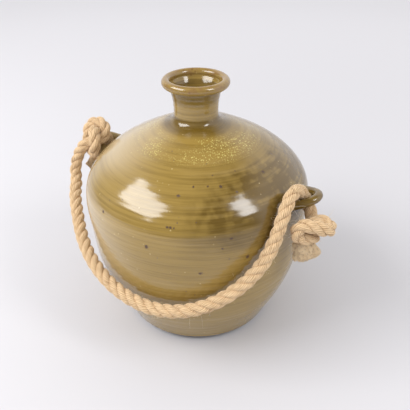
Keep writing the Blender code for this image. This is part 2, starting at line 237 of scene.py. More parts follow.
# The opened ends of the rope: length, width and thickness, and the way they point on the knot's face
LEFT_TAIL_SIZES = (0.0100, 0.0135, 0.0105)
LEFT_TAIL_WAY = (-0.45, -1.0, 0.15)
RIGHT_TAIL_SIZES = (0.0140, 0.0250, 0.0130)
RIGHT_TAIL_WAY = (0.32, -1.0, 0.10)

# Glaze: heights at which a band starts, is full, starts to fade and ends
# The belly band, mostly on the right side, is partly thicker glaze and partly painted shade on that side
BELLY_BAND = (0.122, 0.146, 0.178, 0.202)
RUN_BAND = (0.140, 0.160, 0.178, 0.189)
# Heights where the painted sheen on the left is held back
SHEEN_GAP_BAND = (0.142, 0.150, 0.166, 0.180)
CRYSTAL_BAND = (0.1850, 0.1910, 0.1975, 0.2005)
POOL_BAND = (0.1985, 0.2020, 0.2085, 0.2112)
UNDER_RIM_BAND = (0.2200, 0.2265, 0.2330, 0.2350)
# Heights, and distances to the right, between which a share grows from 0 to 1
LOW_HEIGHTS = (0.060, 0.125)
# Heights over which the painted sheen on the left fades out below the neck
SHEEN_TOP = (0.196, 0.204)
RIM_SPOT_HEIGHTS = (0.2300, 0.2380)
RIM_HEIGHTS = (0.2350, 0.2395)
# Across which the painted shade on the right of the belly comes on
BELLY_SHADE_SIDE = (0.030, 0.084)
RUN_SIDE = (0.030, 0.075)
# Across which the painted sheen comes on towards the left side
SHEEN_SIDE = (-0.095, 0.020)
# How closely a pattern is pressed together along X, Y and Z
STREAK_STRETCH = (11, 11, 560)
BROAD_STRETCH = (9, 9, 120)
THIN_STRETCH = (20, 20, 260)
RUN_STRETCH = (95, 95, 12)
# Colours and sizes of the smaller marks, and the gloss
# Colour of the painted sheen, a pale reflection on the left side
PAINTED_SHEEN_COLOUR = (0.600, 0.490, 0.340)
FLECK_COLOUR = (0.640, 0.500, 0.240)
RIM_SPOT_COLOUR = (0.150, 0.060, 0.018)
SPOT_RAGGEDNESS = 0.0024
BARE_HEIGHT = 0.0052
BARE_WAVER = 0.0030
GLAZE_IOR = 1.70

# Iron spots of the glaze, as (angle in degrees, height, radius). Three in a row make the long pit
IRON_SPOTS = (
    (-67.6, 0.1725, 0.0014), (-69.5, 0.1531, 0.0011), (-71.0, 0.1532, 0.0011), (-68.0, 0.1530, 0.0009),
    (-80.6, 0.1335, 0.0017), (-107.8, 0.1479, 0.0013), (-56.3, 0.1103, 0.0017), (-34.5, 0.1218, 0.0018),
    (-42.4, 0.1432, 0.0013), (-46.5, 0.1354, 0.0009), (-43.2, 0.1765, 0.0013), (-59.4, 0.1774, 0.0010),
    (-51.0, 0.1774, 0.0010), (-10.9, 0.1774, 0.0014), (-46.6, 0.1824, 0.0008), (-49.7, 0.1880, 0.0007),
    (-34.8, 0.1725, 0.0012), (10.5, 0.1810, 0.0009), (-77.0, 0.0719, 0.0009), (-36.7, 0.0893, 0.0009),
)

# What every colour setting shares
COLOUR = {"size": 3, "subtype": "COLOR", "min": 0.0, "max": 1.0}


class DecanterVesselSettings(bpy.types.PropertyGroup):
    """Sizes and colours of the fired clay."""

    sides: bpy.props.IntProperty(
        name="Sides", description="Faces round the vessel", default=208, min=24, max=360)
    ridge_depth: bpy.props.FloatProperty(
        name="Ridge depth", description="Depth of the lines left by the potter's fingers",
        default=0.00010, min=0.0, unit="LENGTH")
    ridge_spacing: bpy.props.FloatProperty(
        name="Ridge spacing", description="Height from one finger line to the next",
        default=0.0046, min=0.0005, unit="LENGTH")
    wander: bpy.props.FloatProperty(
        name="Wander", description="How far the hand-thrown wall strays from round",
        default=0.0003, min=0.0, unit="LENGTH")
    glaze: bpy.props.FloatVectorProperty(
        name="Glaze", description="Colour of the glaze where it lies evenly",
        default=(0.308, 0.202, 0.048), **COLOUR)
    # Also the colour of the painted shade on the right of the belly
    thick_glaze_and_shade: bpy.props.FloatVectorProperty(
        name="Thick glaze", description="Colour of the glaze where it runs thick",
        default=(0.125, 0.074, 0.011), **COLOUR)
    thin_glaze: bpy.props.FloatVectorProperty(
        name="Thin glaze", description="Colour of the glaze where it is thin",
        default=(0.420, 0.300, 0.130), **COLOUR)
    rim_glaze: bpy.props.FloatVectorProperty(
        name="Rim glaze", description="Colour where the glaze breaks on the rim",
        default=(0.240, 0.138, 0.050), **COLOUR)
    iron: bpy.props.FloatVectorProperty(
        name="Iron spots", description="Colour of the iron spots",
        default=(0.060, 0.022, 0.006), **COLOUR)
    crystal: bpy.props.FloatVectorProperty(
        name="Crystals", description="Colour of the pale crystals on the shoulder",
        default=(0.700, 0.600, 0.200), **COLOUR)
    bare_clay: bpy.props.FloatVectorProperty(
        name="Bare clay", description="Colour of the unglazed foot",
        default=(0.075, 0.055, 0.042), **COLOUR)


class DecanterLugSettings(bpy.types.PropertyGroup):
    """Sizes of the two clay coils."""

    width: bpy.props.FloatProperty(
        name="Width", description="Width of the coil", default=0.0080, min=0.001, unit="LENGTH")
    thickness: bpy.props.FloatProperty(
        name="Thickness", description="Thickness of the coil", default=0.0070, min=0.001, unit="LENGTH")
    flare: bpy.props.FloatProperty(
        name="Flare", description="How much wider the coil is where it is pressed on, as a share",
        default=0.75, min=0.0, subtype="FACTOR")
    flare_length: bpy.props.FloatProperty(
        name="Flare length", description="How far the flare reaches along the coil",
        default=0.0055, min=0.001, unit="LENGTH")
    sides: bpy.props.IntProperty(
        name="Sides", description="Faces round the coil", default=36, min=8, max=96)
    unevenness: bpy.props.FloatProperty(
        name="Unevenness", description="How far the hand-rolled coil strays from its oval, as a share",
        default=0.10, min=0.0, max=0.5, subtype="FACTOR")


class DecanterRopeSettings(bpy.types.PropertyGroup):
    """Sizes and colours of the rope."""

    diameter: bpy.props.FloatProperty(
        name="Diameter", description="Diameter of the rope", default=0.012, min=0.002, unit="LENGTH")
    lay: bpy.props.FloatProperty(
        name="Lay", description="Length in which a strand goes once round the rope",
        default=0.031, min=0.005, unit="LENGTH")
    yarns: bpy.props.IntProperty(
        name="Yarns", description="Yarns that show round each strand", default=10, min=3, max=24)
    yarn_depth: bpy.props.FloatProperty(
        name="Yarn depth", description="Depth of the lines between the yarns",
        default=0.00042, min=0.0, unit="LENGTH")
    sides_per_yarn: bpy.props.IntProperty(
        name="Sides per yarn", description="Faces round each yarn that shows", default=4, min=2, max=8)
    hair_length: bpy.props.FloatProperty(
        name="Hair length", description="Length of the short stray fibres",
        default=0.0036, min=0.0005, unit="LENGTH")
    long_hair_share: bpy.props.FloatProperty(
        name="Long hairs", description="Share of the stray fibres that are long",
        default=0.05, min=0.0, max=1.0, subtype="FACTOR")
    hair_thickness: bpy.props.FloatProperty(
        name="Hair thickness", description="Radius of a stray fibre",
        default=0.00007, min=0.00001, unit="LENGTH")
    fray_thickness: bpy.props.FloatProperty(
        name="Fray thickness", description="Radius of a fibre in the opened ends",
        default=0.00024, min=0.00001, unit="LENGTH")
    seed: bpy.props.IntProperty(
        name="Seed", description="Start of the random draws for the loose fibres", default=7, min=0)
    fibre: bpy.props.FloatVectorProperty(
        name="Fibre", description="Colour of the fibre", default=(0.770, 0.560, 0.330), **COLOUR)
    # Also the colour of the painted shade in the grooves and between the yarns
    dark_fibre_and_groove_shade: bpy.props.FloatVectorProperty(
        name="Dark fibre", description="Colour of the darker yarns and of the grooves",
        default=(0.240, 0.110, 0.036), **COLOUR)


class DecanterStageSettings(bpy.types.PropertyGroup):
    """The floor and the light."""

    floor: bpy.props.FloatVectorProperty(
        name="Floor", description="Colour of the floor", default=(0.930, 0.915, 0.955), **COLOUR)
    world_strength: bpy.props.FloatProperty(
        name="Room light", description="Strength of the even light of the room", default=0.765, min=0.0)
    lamp_power: bpy.props.FloatProperty(
        name="Lamp power", description="Power of the main lamp", default=11.0, min=0.0, unit="POWER")
    side_power: bpy.props.FloatProperty(
        name="Side lamp power", description="Power of the side lamp", default=3.2, min=0.0, unit="POWER")


# Lines and curves

def smooth_curve(points, spacing):
    """Points at an even spacing along the natural cubic curve through the given points."""
    given = np.asarray(points, float)
    count = len(given)
    runs = np.linalg.norm(np.diff(given, axis=0), axis=1)
    system = np.eye(count)
    pull = np.zeros_like(given)
    for k in range(1, count - 1):
        system[k, k - 1:k + 2] = runs[k - 1], 2 * (runs[k - 1] + runs[k]), runs[k]
        pull[k] = 6 * ((given[k + 1] - given[k]) / runs[k] - (given[k] - given[k - 1]) / runs[k - 1])
    bend = np.linalg.solve(system, pull)
    share = np.linspace(0, 1, FINE_STEPS, endpoint=False)[:, None]
    parts = []
    for k in range(count - 1):
        straight = (1 - share) * given[k] + share * given[k + 1]
        bow = ((1 - share) ** 3 - (1 - share)) * bend[k] + (share ** 3 - share) * bend[k + 1]
        parts.append(straight + bow * runs[k] ** 2 / 6)
    fine = np.concatenate(parts + [given[-1:]])
    along = distance_along(fine)
    stations = np.linspace(0, along[-1], max(2, round(along[-1] / spacing) + 1))
    return np.stack([np.interp(stations, along, fine[:, k]) for k in range(given.shape[1])], -1)


def distance_along(points):
    return np.concatenate(([0.0], np.cumsum(np.linalg.norm(np.diff(points, axis=0), axis=1))))


def unit(vectors):
    return vectors / np.linalg.norm(vectors, axis=-1, keepdims=True)


def radius_at(height):
    outline = smooth_curve(BODY_OUTLINE, 0.001)
    return float(np.interp(height, outline[:, 0], outline[:, 1]))


def lug_axes(side):
    out = np.array((side * math.cos(LUG_TILT), 0, math.sin(LUG_TILT)))
    through = np.array((-side * math.sin(LUG_TILT), 0, math.cos(LUG_TILT)))
    return out, through


def lug_root(side):
    radius = radius_at(LUG_HEIGHT)
    return np.array((side * (radius - LUG_HALF_SPAN ** 2 / (2 * radius)), 0, LUG_HEIGHT))


def lug_tip(side):
    return lug_root(side) + lug_axes(side)[0] * LUG_REACH


def lug_line(side, steps):
    """The middle of the coil: a leg, the bend and the other leg."""
    out = lug_axes(side)[0]
    turn = np.linspace(-math.pi / 2, math.pi / 2, steps)[:, None]
    bend = lug_root(side) + out * LUG_REACH * np.cos(turn) + np.array((0, LUG_HALF_SPAN, 0)) * np.sin(turn)
    start = bend[0] - out * LUG_ROOT_DEPTH
    end = bend[-1] - out * LUG_ROOT_DEPTH
    return np.concatenate(([start], bend, [end]))


def knot_axes():
    """Across, up and out of a knot's face."""
    out = np.array((
        math.sin(KNOT_TURN) * math.cos(KNOT_LEAN),
        -math.cos(KNOT_TURN) * math.cos(KNOT_LEAN),
        math.sin(KNOT_LEAN),
    ))
    across = np.array((math.cos(KNOT_TURN), math.sin(KNOT_TURN), 0.0))
    return np.stack([across, np.cross(out, across), out])


def drawn_tight(route, side):
    """Pulls a knot's route smooth, and pushes it clear of itself and of the clay coil."""
    start = smooth_curve(lug_tip(side) + np.asarray(route) @ knot_axes(), TIGHTENING_SPACING)
    coil = smooth_curve(lug_line(side, LUG_STEPS), TIGHTENING_SPACING / 2)
    line = start.copy()
    order = np.arange(len(line))
    steps_apart = np.abs(order[:, None] - order[None])
    apart = steps_apart * TIGHTENING_SPACING > NEIGHBOUR_DIAMETERS * TIGHT_SELF_DISTANCE
    for step in range(TIGHTENING_STEPS):
        move = np.zeros_like(line)
        move[1:-1] += SMOOTHING_SHARE * (line[:-2] + line[2:] - 2 * line[1:-1])
        between = line[:, None] - line[None]
        distance = np.linalg.norm(between, axis=-1) + np.finfo(float).eps
        close = np.where(apart & (distance < TIGHT_SELF_DISTANCE), TIGHT_SELF_DISTANCE - distance, 0.0)
        move += (between / distance[..., None] * close[..., None]).sum(1) * SELF_PUSH_SHARE
        from_coil = line[:, None] - coil[None]
        distance = np.linalg.norm(from_coil, axis=-1)
        nearest = distance.argmin(1)
        least = distance[order, nearest][:, None]
        short = np.clip(TIGHT_LUG_DISTANCE - least, 0, None)
        move += from_coil[order, nearest] / least * short * LUG_PUSH_SHARE
        move += (start - line) * ROUTE_PULL_SHARE * (1 - step / TIGHTENING_STEPS)
        move[:TIGHTENING_HELD_POINTS] = 0
        move[-1] = 0
        line += np.clip(move, -TIGHTENING_LIMIT, TIGHTENING_LIMIT)
    return line


def carried_frames(points):
    """A normal at each point that is carried along the line without twisting."""
    ways = unit(np.gradient(points, axis=0))
    normal = unit(np.cross(ways[0], (0.3, 0.2, 1.0)))
    normals = [normal]
    for before, after in zip(ways, ways[1:]):
        axis = np.cross(before, after)
        size = np.linalg.norm(axis)
        if size > np.finfo(float).eps:
            turn = Matrix.Rotation(math.atan2(size, before @ after), 3, Vector(axis / size))
            normal = np.array(turn @ Vector(normal))
        normal = unit(normal - after * (normal @ after))
        normals.append(normal)
    return ways, np.array(normals)


# Node trees

class Value:
    """An output socket of a node. Arithmetic on it adds Math nodes to its tree."""

    def __init__(self, socket):
        self.socket = socket
        self.tree = socket.id_data

    def other(self, key):
        """Another output of the same node."""
        return wrapped(self.socket.node.outputs[key])

    def __add__(self, other):
        return reckon("ADD", self, other)

    def __sub__(self, other):
        return reckon("SUBTRACT", self, other)

    def __rsub__(self, other):
        return reckon("SUBTRACT", other, self)

    def __mul__(self, other):
        return reckon("MULTIPLY", self, other)

    def __truediv__(self, other):
        return reckon("DIVIDE", self, other)


class Arrow(Value):
    """A vector output. Arithmetic on it adds Vector Math nodes, and a value scales it."""

    def steered(self, operation, other):
        return add(self.tree, "ShaderNodeVectorMath", ((0, self), (1, other)), operation=operation)

    def __add__(self, other):
        return self.steered("ADD", other)

    def __sub__(self, other):
        return self.steered("SUBTRACT", other)

    def __mul__(self, scale):
        return add(self.tree, "ShaderNodeVectorMath", ((0, self), (3, scale)), operation="SCALE")

    def cross(self, other):
        return self.steered("CROSS_PRODUCT", other)

    def length(self):
        return add(self.tree, "ShaderNodeVectorMath", [(0, self)], "Value", operation="LENGTH")

    def parts(self):
        x = add(self.tree, "ShaderNodeSeparateXYZ", [(0, self)])
        return x, x.other(1), x.other(2)


def wrapped(socket):
    return (Arrow if socket.type in ("VECTOR", "RGBA") else Value)(socket)


def fill(node, entries):
    """Sets a node's inputs, given as (input, number or Value) pairs."""
    for entry, value in entries:
        if isinstance(value, Value):
            value.tree.links.new(value.socket, node.inputs[entry])
        else:
            node.inputs[entry].default_value = value


def add(tree, kind, entries=(), out=0, **settings):
    """Adds a node with its settings and inputs, and gives one of its outputs."""
    node = tree.nodes.new(kind)
    for name, value in settings.items():
        setattr(node, name, value)
    fill(node, entries)
    return wrapped(node.outputs[out])


def reckon(operation, *values):
    """A Math node on numbers and Values, at least one of them a Value."""
    tree = next(value.tree for value in values if isinstance(value, Value))
    return add(tree, "ShaderNodeMath", enumerate(values), operation=operation)


def joined(x, y, z):
    return add(z.tree, "ShaderNodeCombineXYZ", enumerate((x, y, z)))


def noise(place, scale, detail=2.0, stretch=None, roughness=0.5, out=0):
    if stretch:
        place = add(place.tree, "ShaderNodeMapping", [(0, place), ("Scale", stretch)])
    return add(place.tree, "ShaderNodeTexNoise", (
        (0, place), ("Scale", scale), ("Detail", detail), ("Roughness", roughness)), out)


def new_tree(name, **sockets):
    """A Geometry Nodes tree, and its inputs by name: the geometry, the given ones and the material."""
    tree = bpy.data.node_groups.new(name, "GeometryNodeTree")
    kinds = {"Geometry": "Geometry", **sockets, "Material": "Material"}
    for socket, kind in kinds.items():
        tree.interface.new_socket(
            socket.replace("_", " "), in_out="INPUT", socket_type="NodeSocket" + kind)
    tree.interface.new_socket("Geometry", in_out="OUTPUT", socket_type="NodeSocketGeometry")
    entries = tree.nodes.new("NodeGroupInput").outputs
    return tree, {entry.name: wrapped(entry) for entry in entries}


def close_tree(geometry, given):
    """Ends the tree: smooth shading, real geometry and the material."""
    tree = geometry.tree
    smooth = add(tree, "GeometryNodeSetShadeSmooth", [(0, geometry)])
    real = add(tree, "GeometryNodeRealizeInstances", [(0, smooth)])
    painted = add(tree, "GeometryNodeSetMaterial", [(0, real), ("Material", given["Material"])])
    fill(tree.nodes.new("NodeGroupOutput"), [(0, painted)])
    return tree


def grown(name, source, tree, values):
    """Runs a tree on a source mesh once, and gives its result as a plain mesh object."""
    carrier = bpy.data.objects.new(name + "_source", source)
    bpy.context.scene.collection.objects.link(carrier)
    modifier = carrier.modifiers.new(tree.name, "NODES")
    modifier.node_group = tree
    for item in tree.interface.items_tree:
        if item.item_type == "SOCKET" and item.in_out == "INPUT" and item.name in values:
            modifier[item.identifier] = values[item.name]
    graph = bpy.context.evaluated_depsgraph_get()
    mesh = bpy.data.meshes.new_from_object(
        carrier.evaluated_get(graph), preserve_all_data_layers=True, depsgraph=graph)
    carrier.modifiers.clear()
    bpy.data.objects.remove(carrier)
    bpy.data.meshes.remove(source)
    if not mesh.polygons:
        raise RuntimeError(name + " came out empty")
    mesh.name = name
    if signed_volume(mesh) < 0:
        mesh.flip_normals()
    obj = bpy.data.objects.new(name, mesh)
    bpy.context.scene.collection.objects.link(obj)
    return obj


def signed_volume(mesh):
    """Above zero where the faces of a closed mesh look outwards."""
    points = np.empty(len(mesh.vertices) * 3, np.float32)
    mesh.vertices.foreach_get("co", points)
    points = points.reshape(-1, 3).astype(float)
    mesh.calc_loop_triangles()
    corners = np.empty(len(mesh.loop_triangles) * 3, np.int32)
    mesh.loop_triangles.foreach_get("vertices", corners)
    a, b, c = points[corners.reshape(-1, 3)].transpose(1, 0, 2)
    return float((a * np.cross(b, c)).sum())


def point_mesh(name, points, edges=(), **attributes):
    """A mesh of points, with a value or a vector kept at each of them under a name."""
    mesh = bpy.data.meshes.new(name)
    mesh.from_pydata([tuple(point) for point in points], edges, [])
    for key, values in attributes.items():
        values = np.asarray(values, np.float32)
        vector = values.ndim == 2
        layer = mesh.attributes.new(key, "FLOAT_VECTOR" if vector else "FLOAT", "POINT")
        layer.data.foreach_set("vector" if vector else "value", values.ravel())
    return mesh


def line_mesh(name, points, **attributes):
    return point_mesh(name, points, [(k, k + 1) for k in range(len(points) - 1)], **attributes)


def position(tree):
    return add(tree, "GeometryNodeInputPosition")


def read(tree, name, kind="FLOAT"):
    return add(tree, "GeometryNodeInputNamedAttribute", [("Name", name)], data_type=kind)


def stored(geometry, name, value, kind="FLOAT"):
    return add(geometry.tree, "GeometryNodeStoreNamedAttribute", (
        (0, geometry), ("Name", name), ("Value", value)), data_type=kind, domain="POINT")


def moved(geometry, entry, vector):
    return add(geometry.tree, "GeometryNodeSetPosition", [(0, geometry), (entry, vector)])


def swept(line, profile, radius):
    return add(line.tree, "GeometryNodeCurveToMesh", (
        (0, line), (1, profile), ("Scale", radius), ("Fill Caps", True)))


def circle(tree, sides):
    return add(tree, "GeometryNodeCurvePrimitiveCircle", [("Resolution", sides), ("Radius", 1.0)])


def sheet_to_roll(tree, given, rings):
    """A grid, each point's turn round the axis and a reader of the source mesh at the point's ring."""
    grid = add(tree, "GeometryNodeMeshGrid", (
        ("Size X", 1.0), ("Size Y", 1.0), ("Vertices X", given["Sides"] + 1.0), ("Vertices Y", rings)))
    x, y, _ = position(tree).parts()
    ring = reckon("ROUND", (y + 0.5) * (rings - 1.0))

    def at(value, kind="FLOAT"):
        return add(tree, "GeometryNodeSampleIndex", (
            ("Geometry", given["Geometry"]), ("Value", value), ("Index", ring)), data_type=kind)

    return grid, x + 0.5, at


def rolled_up(grid, place, given):
    """Ends a tree that moves a grid's points into place and closes its seam and its poles."""
    rolled = moved(grid, "Position", place)
    merged = add(grid.tree, "GeometryNodeMergeByDistance", [(0, rolled), ("Distance", MERGE_DISTANCE)])
    return close_tree(merged, given)


def turning_tree():
    """Turns a section about Z, with the finger lines of the wheel and a slight wander of the wall."""
    tree, given = new_tree(
        "turned_on_the_wheel", Sides="Int", Rings="Int", Ridge_Depth="Float", Ridge_Spacing="Float",
        Wander="Float")
    grid, turn, at = sheet_to_roll(tree, given, given["Rings"])
    radius, _, height = at(position(tree), "FLOAT_VECTOR").parts()
    fingered = at(read(tree, "fingered"))
    winding = height / given["Ridge Spacing"] + turn
    wave = reckon("SINE", winding * math.tau)
    fine_wave = reckon("SINE", winding * (FINE_RIDGES * math.tau))
    strength = add(tree, "ShaderNodeTexNoise", (
        ("W", height * RIDGE_NOISE_SCALE), ("Scale", 1.0)), noise_dimensions="1D")
    ridge = (wave + fine_wave * FINE_RIDGE_SHARE) * (strength * given["Ridge Depth"])
    angle = turn * math.tau
    cosine, sine = reckon("COSINE", angle), reckon("SINE", angle)
    spot = joined(radius * cosine, radius * sine, height)
    stray = (noise(spot, WANDER_NOISE_SCALE, 1.0) - 0.5) * given["Wander"]
    reach = radius + (ridge + stray) * fingered
    return rolled_up(grid, joined(reach * cosine, reach * sine, height), given)


def coil_tree():
    """Sets an oval ring of clay at each point of a line that carries its own axes."""
    tree, given = new_tree(
        "rolled_coil", Sides="Int", Stations="Int", Width="Float", Thickness="Float", Unevenness="Float")
    grid, turn, at = sheet_to_roll(tree, given, given["Stations"])
    angle = turn * math.tau
    swell = at(read(tree, "swell")) * 0.5
    wide = reckon("COSINE", angle) * given["Width"] * swell
    high = reckon("SINE", angle) * given["Thickness"] * swell
    across, up = (at(read(tree, name, "FLOAT_VECTOR"), "FLOAT_VECTOR") for name in ("across", "up"))
    offset = across * wide + up * high
    middle = at(position(tree), "FLOAT_VECTOR")
    uneven = noise(middle + offset, COIL_NOISE_SCALE) * given["Unevenness"] + 1.0
    return rolled_up(grid, middle + offset * uneven, given)


def laying_tree():
    """Lays three twisted strands of yarn round a line that carries its own frame."""
    tree, given = new_tree(
        "laid_rope", Lay="Float", Yarns="Int", Yarn_Depth="Float", Sides_Per_Yarn="Int")
    line = add(tree, "GeometryNodeMeshToCurve", [(0, given["Geometry"])])
    strands = add(tree, "GeometryNodeDuplicateElements", [(0, line), ("Amount", STRANDS)], domain="SPLINE")
    numbered = stored(strands, "strand", strands.other(1))
    middle = stored(numbered, "middle", position(tree), "FLOAT_VECTOR")
    turns = read(tree, "along") / given["Lay"]
    angle = (turns + read(tree, "strand") / STRANDS) * math.tau
    way, normal = (read(tree, name, "FLOAT_VECTOR") for name in ("way", "normal"))
    outwards = normal * reckon("COSINE", angle) + way.cross(normal) * reckon("SINE", angle)
    shifted = moved(middle, "Offset", outwards * (read(tree, "diameter") * STRAND_OFFSET_SHARE))
    tilted = add(tree, "GeometryNodeSetCurveTilt", ((0, shifted), ("Tilt", turns * STRAND_TWIST)))
    factor = add(tree, "GeometryNodeSplineParameter")
    lobe = reckon("ABSOLUTE", reckon("SINE", factor * given["Yarns"] * math.pi))
    grow = (lobe - LOBE_LEVEL) * (given["Yarn Depth"] / NOMINAL_STRAND_RADIUS)
    profile = circle(tree, given["Yarns"] * given["Sides Per Yarn"])
    lobed = moved(profile, "Offset", position(tree) * grow)
    ridged = stored(stored(lobed, "around", factor), "yarn_height", lobe)
    body = swept(tilted, ridged, read(tree, "diameter") * STRAND_RADIUS_SHARE)
    out = position(tree) - read(tree, "middle", "FLOAT_VECTOR")
    return close_tree(stored(body, "outness", out.length() / read(tree, "diameter")), given)


def fibre_tree():
    """Grows one thin, slightly curled fibre from each point, along its aim."""
    tree, given = new_tree("loose_fibres", Thickness="Float", Curl="Float", Stations="Int")
    straight = add(tree, "GeometryNodeCurvePrimitiveLine", [("Start", (0, 0, 0)), ("End", (0, 0, 1))])
    stem = add(tree, "GeometryNodeResampleCurve", [(0, straight), ("Count", given["Stations"])])
    aim = read(tree, "aim", "FLOAT_VECTOR")
    aimed = add(tree, "FunctionNodeAlignRotationToVector", [("Vector", aim)], axis="Z")
    points = add(tree, "GeometryNodeMeshToPoints", [(0, given["Geometry"])])
    copies = add(tree, "GeometryNodeInstanceOnPoints", (
        (0, points), ("Instance", stem), ("Rotation", aimed),
        ("Scale", joined(1.0, 1.0, read(tree, "fibre_length")))))
    real = add(tree, "GeometryNodeRealizeInstances", [(0, copies)])
    factor = add(tree, "GeometryNodeSplineParameter")
    centred = noise(position(tree), FIBRE_NOISE_SCALE, 1.0, out="Color") - (0.5, 0.5, 0.5)
    curled = moved(real, "Offset", centred * (reckon("POWER", factor, FIBRE_CURL_POWER) * given["Curl"]))
    leaning = read(tree, "lean", "FLOAT_VECTOR") * reckon("POWER", factor, FIBRE_LEAN_POWER)
    marked = stored(moved(curled, "Offset", leaning), "along", factor)
    taper = 1.0 - factor * FIBRE_TAPER
    return close_tree(swept(marked, circle(tree, 3), given["Thickness"] * taper), given)


# Materials

def new_material(name):
    """A material, its tree and its shader."""
    material = bpy.data.materials.new(name)
    material.use_nodes = True
    return material, material.node_tree, material.node_tree.nodes["Principled BSDF"]


def ramp(value, low, high):
    """0 below low and 1 above high, with a smooth step between."""
    return add(value.tree, "ShaderNodeMapRange", (
        (0, value), (1, low), (2, high)), interpolation_type="SMOOTHSTEP")


def band(value, start, full, fade, end):
    return ramp(value, start, full) * (1.0 - ramp(value, fade, end))


def mixed(share, first, second):
    """Colours mixed by a share, which is a Value."""
    entries = [(0, share)] + [
        (entry, colour if isinstance(colour, Value) else (*colour, 1.0))
        for entry, colour in ((6, first), (7, second))]
    return add(share.tree, "ShaderNodeMix", entries, 2, data_type="RGBA")


def dots(place, scale, size, rarity, seed):
    """Scattered round spots: 1 in a spot and 0 outside it."""
    shifted = add(place.tree, "ShaderNodeMapping", [(0, place), ("Location", (seed, seed, seed))])
    cells = add(place.tree, "ShaderNodeTexVoronoi", [(0, shifted), ("Scale", scale)], "Color")
    chosen = add(place.tree, "ShaderNodeSeparateColor", [(0, cells)])
    near = 1.0 - ramp(cells.other("Distance"), size * 0.4, size)
    return ramp(chosen, 1 - rarity, 1 - rarity * 0.6) * near


def bumped(tree, strength, distance, height):
    return add(tree, "ShaderNodeBump", (("Strength", strength), ("Distance", distance), ("Height", height)))


def glaze_material(settings):
    """Olive celadon: streaked by the wheel, thick in the hollows, broken on the rim, bare at the foot, with
    painted shade on the right of the belly and a painted sheen on the left.
    """
    material, tree, shader = new_material("celadon_glaze")
    place = add(tree, "ShaderNodeTexCoord", out="Object")
    across, _, height = place.parts()
    streaks = noise(place, 1.0, 4.0, STREAK_STRETCH, 0.62)
    broad = noise(place, 1.0, 2.0, BROAD_STRETCH)
    cloud = noise(place, 26.0, 3.0)
    runs = noise(place, 1.0, 2.0, RUN_STRETCH)

    # Painted shade on the right side of the belly, mixed with thicker glaze there
    belly_thickness_and_shade = band(height, *BELLY_BAND) * (ramp(across, *BELLY_SHADE_SIDE) * 1.05 + 0.06)
    run_side = band(height, *RUN_BAND) * ramp(across, *RUN_SIDE)
    thickness_and_shade = ramp(streaks, 0.40, 0.66) * 0.42 + -0.04
    thickness_and_shade = thickness_and_shade + belly_thickness_and_shade * (ramp(broad, 0.30, 0.62) * 0.5 + 0.5)
    thickness_and_shade = thickness_and_shade + run_side * (ramp(runs, 0.34, 0.68) * 0.75 + -0.30)
    thickness_and_shade = thickness_and_shade + band(height, *POOL_BAND) + band(height, *UNDER_RIM_BAND) * 0.55
    thickness_and_shade = thickness_and_shade * (ramp(cloud, 0.25, 0.60) * 0.35 + 0.65)
    colour = mixed(reckon("MINIMUM", thickness_and_shade, 1.0), settings.glaze, settings.thick_glaze_and_shade)

    thin = ramp(noise(place, 1.0, 3.0, THIN_STRETCH), 0.50, 0.72) * 0.50
    low = 1.0 - ramp(height, *LOW_HEIGHTS)
    colour = mixed(thin * (low * 0.5 + 0.35), colour, settings.thin_glaze)
    # Painted sheen: a pale reflection on the left side, held back in a band of the belly and gone at the
    # neck
    clear = band(height, *SHEEN_GAP_BAND) * 0.75
    painted_sheen = (1.0 - ramp(across, *SHEEN_SIDE)) * ((1.0 - clear) * (1.0 - ramp(height, *SHEEN_TOP)))
    colour = mixed(painted_sheen * 0.68, colour, PAINTED_SHEEN_COLOUR)

    broken = ramp(noise(place, 210.0, 3.0), 0.42, 0.62)
    colour = mixed(ramp(height, *RIM_HEIGHTS) * (broken * 0.55 + 0.22), colour, settings.rim_glaze)
    patches = ramp(noise(place, 30.0), 0.42, 0.60)
    crystals = reckon("MAXIMUM", dots(place, 980.0, 0.44, 0.50, 3.1), dots(place, 600.0, 0.38, 0.40, 8.3))
    colour = mixed(band(height, *CRYSTAL_BAND) * patches * crystals, colour, settings.crystal)
    colour = mixed(dots(place, 190.0, 0.17, 0.20, 4.4) * 0.55, colour, FLECK_COLOUR)

    small = dots(place, 150.0, 0.14, 0.16, 1.7)
    large = dots(place, 46.0, 0.055, 0.34, 5.9)
    spots = reckon("MAXIMUM", small * 0.75, large)
    ragged = place + (noise(place, 700.0, 1.0, out="Color") - (0.5, 0.5, 0.5)) * SPOT_RAGGEDNESS
    for degrees, level, size in IRON_SPOTS:
        reach, turn = radius_at(level), math.radians(degrees)
        away = (ragged - (reach * math.cos(turn), reach * math.sin(turn), level)).length()
        spot = 1.0 - ramp(away, size * 0.60, size * 1.25)
        spots = reckon("MAXIMUM", spots, spot * 0.92)
    colour = mixed(spots, colour, settings.iron)
    rim_spots = dots(place, 330.0, 0.38, 0.42, 2.2) * ramp(height, *RIM_SPOT_HEIGHTS)
    colour = mixed(rim_spots * 0.55, colour, RIM_SPOT_COLOUR)

    edge = (noise(place, 60.0) - 0.5) * BARE_WAVER + BARE_HEIGHT
    bare = reckon("LESS_THAN", height, edge)
    gloss = noise(place, 90.0, 3.0) * 0.08 + 0.10 + spots * 0.35
    dimples = streaks * 0.55 + noise(place, 130.0) - spots * 0.6
    fill(shader, (
        ("Base Color", mixed(bare, colour, settings.bare_clay)),
        ("Roughness", reckon("MAXIMUM", gloss, bare * 0.75)),
        ("IOR", GLAZE_IOR),
        ("Normal", bumped(tree, 0.08, 0.0006, dimples))))
    return material


